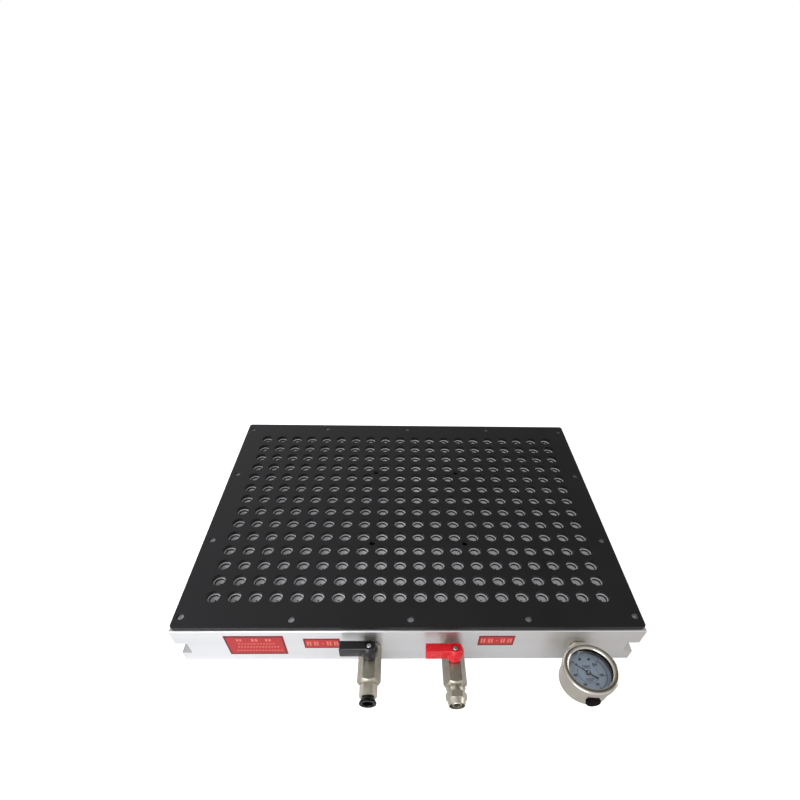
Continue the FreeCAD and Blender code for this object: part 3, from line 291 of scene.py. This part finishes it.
# black moulding, in glass-filled nylon or in acetal: a fine texture from the mould under a low gloss
def blackMoulding(name, coat, level):
    material, shader, here = newMaterial(name, "#0D0D0F", 0.22, Coat_Weight=coat, Coat_Roughness=0.12,
                                         Specular_IOR_Level=level)
    grain = addNode(material, "ShaderNodeTexNoise", {"Scale": perMetre(0.35), "Detail": 4.0},
                    {"Vector": here})
    flow = addNode(material, "ShaderNodeTexNoise", {"Scale": perMetre(6.0), "Detail": 2.0}, {"Vector": here})
    addNode(material, "ShaderNodeMix",
            {"data_type": "RGBA", 6: hexColour("#080809"), 7: hexColour("#0F0F12")},
            {0: flow.outputs["Fac"]}, {2: shader.inputs["Base Color"]})
    addNode(material, "ShaderNodeMapRange", {"To Min": 0.16, "To Max": 0.3}, {"Value": flow.outputs["Fac"]},
            {0: shader.inputs["Roughness"]})
    addNode(material, "ShaderNodeBump", {"Strength": 0.2, "Distance": 0.02 * mm},
            {"Height": grain.outputs["Fac"]}, {"Normal": shader.inputs["Normal"]})
    return material


# moulded ABS, signal red: smooth and semi-gloss
def redAbs():
    material, shader, here = newMaterial("redAbs", "#D5101F", 0.28)
    flow = addNode(material, "ShaderNodeTexNoise", {"Scale": perMetre(7.0), "Detail": 2.0}, {"Vector": here})
    grain = addNode(material, "ShaderNodeTexNoise", {"Scale": perMetre(0.5), "Detail": 3.0}, {"Vector": here})
    addNode(material, "ShaderNodeMix",
            {"data_type": "RGBA", 6: hexColour("#C60C1A"), 7: hexColour("#E01828")},
            {0: flow.outputs["Fac"]}, {2: shader.inputs["Base Color"]})
    addNode(material, "ShaderNodeMapRange", {"To Min": 0.2, "To Max": 0.34}, {"Value": flow.outputs["Fac"]},
            {0: shader.inputs["Roughness"]})
    addNode(material, "ShaderNodeBump", {"Strength": 0.12, "Distance": 0.015 * mm},
            {"Height": grain.outputs["Fac"]}, {"Normal": shader.inputs["Normal"]})
    return material


# nitrile rubber: black with a dull, dusty bloom
def nitrileRubber():
    material, shader, here = newMaterial("nitrileRubber", "#0E0908", 0.9, Specular_IOR_Level=0.12)
    bloom = addNode(material, "ShaderNodeTexNoise", {"Scale": perMetre(1.5), "Detail": 4.0}, {"Vector": here})
    addNode(material, "ShaderNodeMix",
            {"data_type": "RGBA", 6: hexColour("#0A0605"), 7: hexColour("#150D0C")},
            {0: bloom.outputs["Fac"]}, {2: shader.inputs["Base Color"]})
    addNode(material, "ShaderNodeMapRange", {"To Min": 0.8, "To Max": 0.98}, {"Value": bloom.outputs["Fac"]},
            {0: shader.inputs["Roughness"]})
    addNode(material, "ShaderNodeBump", {"Strength": 0.2, "Distance": 0.03 * mm},
            {"Height": bloom.outputs["Fac"]}, {"Normal": shader.inputs["Normal"]})
    return material


# PTFE: waxy white
def whitePtfe():
    material, shader, here = newMaterial("whitePtfe", "#EDEDEA", 0.45)
    wax = addNode(material, "ShaderNodeTexNoise", {"Scale": perMetre(2.0), "Detail": 3.0}, {"Vector": here})
    addNode(material, "ShaderNodeMapRange", {"To Min": 0.38, "To Max": 0.52}, {"Value": wax.outputs["Fac"]},
            {0: shader.inputs["Roughness"]})
    return material


# ink on vinyl film, and the gauge's enamel, scale and paint: flat colour with a satin skin, a little mottled
def vinylInk(name, dark, light, roughness):
    material, shader, here = newMaterial(name, light, roughness)
    mottle = addNode(material, "ShaderNodeTexNoise", {"Scale": perMetre(1.2), "Detail": 4.0},
                     {"Vector": here})
    addNode(material, "ShaderNodeMix", {"data_type": "RGBA", 6: hexColour(dark), 7: hexColour(light)},
            {0: mottle.outputs["Fac"]}, {2: shader.inputs["Base Color"]})
    addNode(material, "ShaderNodeMapRange", {"To Min": roughness - 0.06, "To Max": roughness + 0.08},
            {"Value": mottle.outputs["Fac"]}, {0: shader.inputs["Roughness"]})
    return material


# clear polycarbonate window, faintly wiped
def clearWindow():
    material, shader, here = newMaterial("clearWindow", "#F4F9FC", 0.04, IOR=1.5, Transmission_Weight=1.0)
    wiped = addNode(material, "ShaderNodeTexNoise", {"Scale": perMetre(8.0), "Detail": 2.0}, {"Vector": here})
    addNode(material, "ShaderNodeMapRange", {"To Min": 0.01, "To Max": 0.05}, {"Value": wiped.outputs["Fac"]},
            {0: shader.inputs["Roughness"]})
    return material


finishes = {
    "satin_aluminium": satinAluminium(),
    "black_anodised": blackAnodised(),
    "nickel_brass": nickelBrass("nickelBrass", "#BDB6A3", "#DCD7C9"),
    "plain_brass": plainBrass(),
    "gauge_steel": polishedStainless(),
    "spring_steel": springSteel(),
    "screw_steel": screwSteel(),
    "chromed_ball": groundChrome(),
    "black_plastic": blackMoulding("blackNylon", 0.2, 0.5),
    "red_plastic": redAbs(),
    "black_rubber": nitrileRubber(),
    "white_seat": whitePtfe(),
    "wide_label": vinylInk("wideLabelRed", "#AC1E22", "#BE2B2C", 0.5),
    "port_label": vinylInk("portLabelRed", "#B02124", "#C22E2E", 0.5),
    "dial_paint": vinylInk("dialEnamel", "#98A5B6", "#AEB9C8", 0.38),
    "clear_window": clearWindow(),
    "pointer_black": vinylInk("pointerPaint", "#0E0E10", "#1B1B1E", 0.4),
}
paleInk = vinylInk("paleInk", "#D26F58", "#E0836C", 0.45)
borderInk = vinylInk("borderInk", "#4C1519", "#5E1D21", 0.5)
scaleInk = vinylInk("scaleInk", "#15181D", "#242932", 0.42)

# pieces that differ a little from their slot's common finish
forgedNickel = nickelBrass("forgedNickel", "#A39D8C", "#BFBAAD")
ownFinishes = {
    "blow_valve_body": forgedNickel,
    "vacuum_valve_body": forgedNickel,
    "release_sleeve": blackMoulding("blackAcetal", 0.0, 0.2),
    "dial_screws": oxideSteel(),
    "top_plate_screws": plateScrewSteelShaded(),
}


def finishOf(nodeName):
    return ownFinishes.get(nodeName, finishes[slotOf[nodeName]])


for name, node in nodes.items():
    node.data.materials.clear()
    node.data.materials.append(finishOf(name))
print("materials made:", len(bpy.data.materials))


def finishPiece(name, mesh, material, body, replaces=()):
    piece = bpy.data.objects.new(name, mesh)
    bpy.context.scene.collection.objects.link(piece)
    mesh.materials.clear()
    mesh.materials.append(material)
    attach(piece, body)
    if replaces:
        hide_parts(*replaces)
    return piece


# without an angle the mesh stays flat shaded
def meshFrom(bm, name, sharpDeg=None):
    mesh = bpy.data.meshes.new(name)
    bm.to_mesh(mesh)
    bm.free()
    if sharpDeg is not None:
        mesh.shade_smooth()
        mesh.set_sharp_from_angle(angle=math.radians(sharpDeg))
    return mesh


# widths of the broken edges in mm
edges = {"merge": 1e-6, "flatDeg": 0.5, "sharpDeg": 30, "segments": 2,
         "widths": {"blow_valve_body": 0.3, "vacuum_valve_body": 0.3, "push_fitting_body": 0.3,
                    "hose_connector": 0.2, "hose_nut": 0.3, "blow_lever": 0.5, "vacuum_lever": 0.5,
                    "release_sleeve": 0.15, "blow_lever_screw": 0.12, "vacuum_lever_screw": 0.12,
                    "fill_plug": 0.35, "gauge_socket": 0.2}}


# a merged copy of a CAD node with its sharp edges broken, so that they catch light
def edgeBroken(nodeName, widthMm, sharpDeg):
    bm = bmesh.new()
    bm.from_mesh(nodes[nodeName].data)
    bmesh.ops.remove_doubles(bm, verts=bm.verts, dist=edges["merge"])
    bmesh.ops.dissolve_limit(bm, angle_limit=math.radians(edges["flatDeg"]), verts=bm.verts, edges=bm.edges)
    mesh = meshFrom(bm, nodeName + "Mesh", sharpDeg)
    piece = finishPiece(nodeName + "Dressed", mesh, finishOf(nodeName), bodyOf[nodeName],
                        [nodeName])
    bevel = piece.modifiers.new("brokenEdges", "BEVEL")
    bevel.width = widthMm * mm
    bevel.segments = edges["segments"]
    bevel.limit_method = "ANGLE"
    bevel.angle_limit = math.radians(sharpDeg)
    bevel.harden_normals = True
    bevel.use_clamp_overlap = True


for nodeName, width in edges["widths"].items():
    edgeBroken(nodeName, width, edges["sharpDeg"])
print("edges broken on", len(edges["widths"]), "pieces")


gauge = {"centre": (0.1465, -0.1785, 0.023), "steps": 96, "caseEdge": 0.12, "caseSharpDeg": 35}


# a turned piece of the gauge: a profile of radii and heights in mm, spun about the gauge's axis
def turned(name, profile, closed, material, replaces, sharpDeg):
    bm = bmesh.new()
    verts = [bm.verts.new((r * mm, 0, z * mm)) for r, z in profile]
    outline = [bm.edges.new(pair) for pair in zip(verts, verts[1:])]
    if closed:
        outline.append(bm.edges.new((verts[-1], verts[0])))
    bmesh.ops.spin(bm, geom=verts + outline, cent=(0, 0, 0), axis=(0, 0, 1), angle=math.tau,
                   steps=gauge["steps"], use_merge=True)
    bmesh.ops.remove_doubles(bm, verts=bm.verts, dist=1e-7)
    bmesh.ops.recalc_face_normals(bm, faces=bm.faces)
    bmesh.ops.transform(bm, matrix=Matrix.Translation(gauge["centre"]), verts=bm.verts)
    finishPiece(name, meshFrom(bm, name, sharpDeg), material, "chuck", replaces)


# the crown rises from the outer wall at the spring height, over the ridge and down to the mouth
bezel = {"radius": 22.6, "mouth": 17.6, "top": 14.5, "ridge": 20.4, "spring": 12.75, "glass": 12.8,
         "low": 8.3, "seat": 9.0, "grip": 21.85, "neck": 21.42, "curl": 0.35, "curlMiddle": 0.1,
         "crownSteps": 19, "crownStepDeg": 9.5, "sharpDeg": 50}


def gaugeBezel():
    radius, low = bezel["radius"], bezel["low"]
    curl = [(bezel["neck"], low), (radius - bezel["curl"], low),
            (radius - bezel["curlMiddle"], low + bezel["curlMiddle"]), (radius, low + bezel["curl"])]
    crown = []
    for step in range(bezel["crownSteps"]):
        turn = math.radians(bezel["crownStepDeg"] * step)
        half = (radius if math.cos(turn) > 0 else bezel["mouth"]) - bezel["ridge"]
        crown.append((bezel["ridge"] + abs(math.cos(turn)) * half,
                      bezel["spring"] + (bezel["top"] - bezel["spring"]) * math.sin(turn)))
    groove = [(bezel["grip"], bezel["glass"]), (bezel["grip"], bezel["seat"]), (bezel["neck"], bezel["seat"])]
    turned("gaugeBezelRolled", curl + crown + groove, True, finishes["gauge_steel"],
           ["gauge_bezel"], bezel["sharpDeg"])


# a black ring on the case wall between the window and the dial: painted shade, a dark sheet where the wall
# lies in shadow
shadeRing = {"profile": [(20.1, 4.7), (20.12, 9.7), (18.2, 10.4), (18.2, 10.7)], "sharpDeg": 35}

gaugeBezel()
turned("windowShadeRing", shadeRing["profile"], False, finishes["black_rubber"], (),
       shadeRing["sharpDeg"])
edgeBroken("gauge_case", gauge["caseEdge"], gauge["caseSharpDeg"])
print("gauge turned")


# the gauge's dial is printed over the enamel, in mm and degrees: radii of the two scales and of the figures,
# how often a mark is a long one, and flat bars as (x, y, length, width)
dial = {"height": 4.53, "zero": 135.0, "sweep": 270.0, "marks": 50, "majorEvery": 10, "middleEvery": 5,
        "outer": 15.6, "minor": 14.4, "middleExtra": 0.4, "major": 13.1, "inner": 8.8, "ring": 0.42,
        "innerRing": 0.3, "majorWidth": 0.62, "minorWidth": 0.32, "innerTick": 1.2, "innerTickWidth": 0.3,
        "figures": ["0", "20", "40", "60", "80", "100"], "figureRadius": 10.9, "figureSize": 3.1,
        "figureWeight": 0.18, "bandStepDeg": 5,
        "bars": [(0, 4.2, 6.6, 0.4), (0, 6.8, 6.6, 0.4), (-3.1, 5.5, 0.4, 2.9), (3.1, 5.5, 0.4, 2.9),
                 (0, 5.5, 4.6, 1.0), (0, -5.2, 7.6, 0.9), (0, -6.8, 5.2, 0.7)]}


def flatBar(bm, lengthMm, widthMm, matrix):
    bmesh.ops.create_grid(bm, x_segments=1, y_segments=1, size=0.5,
                          matrix=matrix @ Matrix.Diagonal((lengthMm * mm, widthMm * mm, 1, 1)))


def scaleBand(bm, inner, outer, face):
    made = [bm.verts.new((r * mm, 0, 0)) for r in (inner, outer)]
    edge = bm.edges.new(made)
    turn = Matrix.Rotation(math.radians(dial["zero"]), 4, "Z")
    bmesh.ops.transform(bm, matrix=face @ turn, verts=made)
    bmesh.ops.spin(bm, geom=made + [edge], cent=face.translation, axis=(0, 0, 1),
                   angle=math.radians(dial["sweep"]), steps=int(dial["sweep"] / dial["bandStepDeg"]))


def printedFigure(bm, text, matrix):
    curve = bpy.data.curves.new("figure", "FONT")
    curve.body = text
    curve.size = dial["figureSize"] * mm
    curve.offset = dial["figureWeight"] * mm
    curve.align_x = "CENTER"
    curve.align_y = "CENTER"
    curve.resolution_u = 2
    holder = bpy.data.objects.new("figure", curve)
    mesh = bpy.data.meshes.new_from_object(holder)
    mesh.transform(matrix)
    bm.from_mesh(mesh)
    bpy.data.objects.remove(holder)
    bpy.data.meshes.remove(mesh)
    bpy.data.curves.remove(curve)


def dialPrint():
    bm = bmesh.new()
    face = Matrix.Translation(Vector(gauge["centre"]) + Vector((0, 0, dial["height"] * mm)))
    scaleBand(bm, dial["outer"] - dial["ring"], dial["outer"], face)
    scaleBand(bm, dial["inner"] - dial["innerRing"], dial["inner"], face)
    for i in range(dial["marks"] + 1):
        isMajor = i % dial["majorEvery"] == 0
        isMiddle = i % dial["middleEvery"] == 0
        inner = dial["major"] if isMajor else dial["minor"] - (dial["middleExtra"] if isMiddle else 0)
        width = dial["majorWidth"] if isMajor else dial["minorWidth"]
        turn = Matrix.Rotation(math.radians(dial["zero"] + dial["sweep"] * i / dial["marks"]), 4, "Z")
        middle = Matrix.Translation(((inner + dial["outer"]) / 2 * mm, 0, 0))
        flatBar(bm, dial["outer"] - inner, width, face @ turn @ middle)
        if isMiddle:
            inward = Matrix.Translation(((dial["inner"] - dial["innerTick"] / 2) * mm, 0, 0))
            flatBar(bm, dial["innerTick"], dial["innerTickWidth"], face @ turn @ inward)
    for i, figure in enumerate(dial["figures"]):
        angle = math.radians(dial["zero"] + dial["sweep"] * i / (len(dial["figures"]) - 1))
        at = Vector((math.cos(angle), math.sin(angle), 0)) * dial["figureRadius"] * mm
        printedFigure(bm, figure, face @ Matrix.Translation(at) @ Matrix.Rotation(math.pi, 4, "Z"))
    for x, y, length, width in dial["bars"]:
        flatBar(bm, length, width, face @ Matrix.Translation((x * mm, y * mm, 0)))
    finishPiece("dialPrint", meshFrom(bm, "dialPrint"), scaleInk, "chuck")


dialPrint()


# each label has a printed border and rows of plain bars, in mm from its centre: (x, z, length, thickness).
# The border's line is thicker along the top and bottom, so that it shows from above.
labelInk = {"y": -0.15022, "letter": 2.6, "inked": 0.62}
labels = {
    "wide": {"slot": "wide_label", "centre": (-132, 25.2), "size": (50, 29.5), "border": 1.0, "line": 1.3,
             "level": 1.9,
             "bars": [(-13, 8.4, 5.2, 3.6), (0, 8.4, 6.2, 4.0), (11.5, 8.4, 5.6, 3.6),
                      (0.5, 2.4, 32, 1.3), (1.5, -2.6, 36, 1.5), (1.5, -8.4, 40, 1.3)]},
    "blow": {"slot": "port_label", "centre": (-75.5, 28), "size": (31, 15), "border": 0.8, "line": 0.9,
             "level": 1.6,
             "bars": [(-11, 0, 4.4, 6.4), (-5, 0, 4.4, 6.4), (0.6, 0, 1.6, 1.6), (6, 0, 4.6, 6.4),
                      (12, 0, 4.2, 6.4)]},
    "vacuum": {"slot": "port_label", "centre": (73.8, 31.8), "size": (31, 15), "border": 0.8, "line": 0.9,
               "level": 1.6,
               "bars": [(-11.4, 0, 4.6, 6.2), (-5, 0, 4.6, 6.4), (0.4, 0, 1.6, 1.6), (5.6, 0, 4.4, 6.4),
                        (11.6, 0, 4.4, 6.2)]},
}


def labelPrint(side, label):
    x, z = label["centre"]
    upright = Matrix.Rotation(math.pi / 2, 4, "X")
    face = Matrix.Translation((x * mm, labelInk["y"], z * mm)) @ upright
    border = bmesh.new()
    across, along = [size - 2 * label["border"] for size in label["size"]]
    for sign in (-1, 1):
        flatBar(border, across, label["level"], face @ Matrix.Translation((0, sign * along / 2 * mm, 0)))
        flatBar(border, label["line"], along, face @ Matrix.Translation((sign * across / 2 * mm, 0, 0)))
    finishPiece(side + "LabelBorder", meshFrom(border, side + "LabelBorder"), borderInk, "chuck")
    bars = bmesh.new()
    for barX, barZ, length, thickness in label["bars"]:
        letters = max(1, round(length / labelInk["letter"]))
        step = length / letters
        for i in range(letters):
            at = barX + (i + 0.5 - letters / 2) * step
            flatBar(bars, step * labelInk["inked"], thickness,
                    face @ Matrix.Translation((at * mm, barZ * mm, 0)))
    finishPiece(side + "LabelBars", meshFrom(bars, side + "LabelBars"), paleInk, "chuck")


for side, label in labels.items():
    labelPrint(side, label)
print("dial and labels printed")


# the floor gets darker and warmer towards the right, painted shade that the metal mirrors; it is lifted to
# white where it is seen directly
room = {"floorSize": 8.0, "floorPale": "#E3E5E8", "floorShadeWarm": "#A59C94", "shadeFrom": -0.1, "shadeTo": 0.4,
        "cameraLift": 0.88, "glossLift": 0.1}


# painted board: matt and pale, and it keeps the object's shadow
def studioFloor():
    bm = bmesh.new()
    bmesh.ops.create_grid(bm, x_segments=1, y_segments=1, size=room["floorSize"] / 2)
    floor = bpy.data.objects.new("floor", meshFrom(bm, "floor"))
    bpy.context.scene.collection.objects.link(floor)
    material, shader, here = newMaterial("paleFloor", room["floorPale"], 0.7, Specular_IOR_Level=0.1)
    split = addNode(material, "ShaderNodeSeparateXYZ", None, {0: here})
    right = addNode(material, "ShaderNodeMapRange",
                    {"From Min": room["shadeFrom"], "From Max": room["shadeTo"]}, {"Value": split.outputs["X"]})
    # painted shade: the floor's colour darkens and warms towards the right
    addNode(material, "ShaderNodeMix",
            {"data_type": "RGBA", 6: hexColour(room["floorPale"]), 7: hexColour(room["floorShadeWarm"])},
            {0: right.outputs[0]}, {2: shader.inputs["Base Color"]})
    path = addNode(material, "ShaderNodeLightPath")
    seen = addNode(material, "ShaderNodeMath", {"operation": "MAXIMUM"},
                   {0: path.outputs["Is Camera Ray"], 1: path.outputs["Is Transmission Ray"]})
    direct = addNode(material, "ShaderNodeMath", {"operation": "MULTIPLY", 1: room["cameraLift"]},
                     {0: seen.outputs[0]})
    gloss = addNode(material, "ShaderNodeMath", {"operation": "MULTIPLY", 1: room["glossLift"]},
                    {0: path.outputs["Is Glossy Ray"]})
    addNode(material, "ShaderNodeMath", {"operation": "MAXIMUM"}, {0: direct.outputs[0], 1: gloss.outputs[0]},
            {0: shader.inputs["Emission Strength"]})
    shader.inputs["Emission Color"].default_value = (1, 1, 1, 1)
    floor.data.materials.append(material)


# the room is dim towards one direction, which the work plate mirrors, and brightens away from it: the ramp
# runs over the cosine of the angle to that direction
sky = {"dimmest": (0.40, 0.62, 0.675),
       "levels": [(0.0, "#F8F9FB"), (0.3, "#EDEEF0"), (0.6, "#C6C7CA"), (0.7, "#B9B9BA"), (0.86, "#A09E9C"),
                  (0.91, "#868381"), (1.0, "#3A3736")]}


# the room is white where it is seen directly, and graded where it only lights and mirrors
def studioWorld():
    world = bpy.data.worlds.new("studio")
    bpy.context.scene.world = world
    world.use_nodes = True
    background = world.node_tree.nodes["Background"]
    where = addNode(world, "ShaderNodeTexCoord")
    towards = addNode(world, "ShaderNodeVectorMath", {"operation": "DOT_PRODUCT", 1: sky["dimmest"]},
                      {0: where.outputs["Generated"]})
    levels = addNode(world, "ShaderNodeValToRGB", None, {"Fac": towards.outputs["Value"]})
    while len(levels.color_ramp.elements) < len(sky["levels"]):
        levels.color_ramp.elements.new(0.5)
    for element, (at, colour) in zip(levels.color_ramp.elements, sky["levels"]):
        element.position = at
        element.color = hexColour(colour)
    path = addNode(world, "ShaderNodeLightPath")
    seen = addNode(world, "ShaderNodeMath", {"operation": "MAXIMUM"},
                   {0: path.outputs["Is Camera Ray"], 1: path.outputs["Is Transmission Ray"]})
    addNode(world, "ShaderNodeMix", {"data_type": "RGBA", 7: (1, 1, 1, 1)},
            {0: seen.outputs[0], 6: levels.outputs["Color"]}, {2: background.inputs["Color"]})
    background.inputs["Strength"].default_value = 1.0


lamps = {
    "softboxFrontLeft": {"place": (-1.1, -1.8, 1.15), "aim": (0, 0, 0.03), "size": 1.9, "watts": 32.0,
                         "colour": "#FBFCFF"},
    "softboxRight": {"place": (1.5, 0.1, 0.42), "aim": (0, 0, 0.03), "size": 0.7, "watts": 5.0,
                     "colour": "#FFF4E8"},
}


def softLamp(name, lamp):
    light = bpy.data.lights.new(name, "AREA")
    light.size = lamp["size"]
    light.energy = lamp["watts"]
    light.color = hexColour(lamp["colour"])[:3]
    holder = bpy.data.objects.new(name, light)
    place = Vector(lamp["place"])
    aim = Vector(lamp["aim"]) - place
    holder.matrix_world = Matrix.Translation(place) @ aim.to_track_quat("-Z", "Y").to_matrix().to_4x4()
    bpy.context.scene.collection.objects.link(holder)


# fitted to the rows of holes in the photograph
view = {"place": (-0.01027, -0.35602, 0.38295), "turn": (44.375, -1.203, -0.894), "lens": 20.80, "sensor": 36,
        "shift": (-0.0134, 0.1572), "clip": (0.01, 50)}


def photoCamera():
    data = bpy.data.cameras.new("camera")
    data.lens = view["lens"]
    data.sensor_width = view["sensor"]
    data.shift_x, data.shift_y = view["shift"]
    data.clip_start, data.clip_end = view["clip"]
    camera = bpy.data.objects.new("camera", data)
    camera.location = view["place"]
    camera.rotation_euler = [math.radians(a) for a in view["turn"]]
    bpy.context.scene.collection.objects.link(camera)
    bpy.context.scene.camera = camera


studioFloor()
studioWorld()
for name, lamp in lamps.items():
    softLamp(name, lamp)
photoCamera()
bpy.context.scene.view_settings.view_transform = "Standard"
print("room, light and camera set")
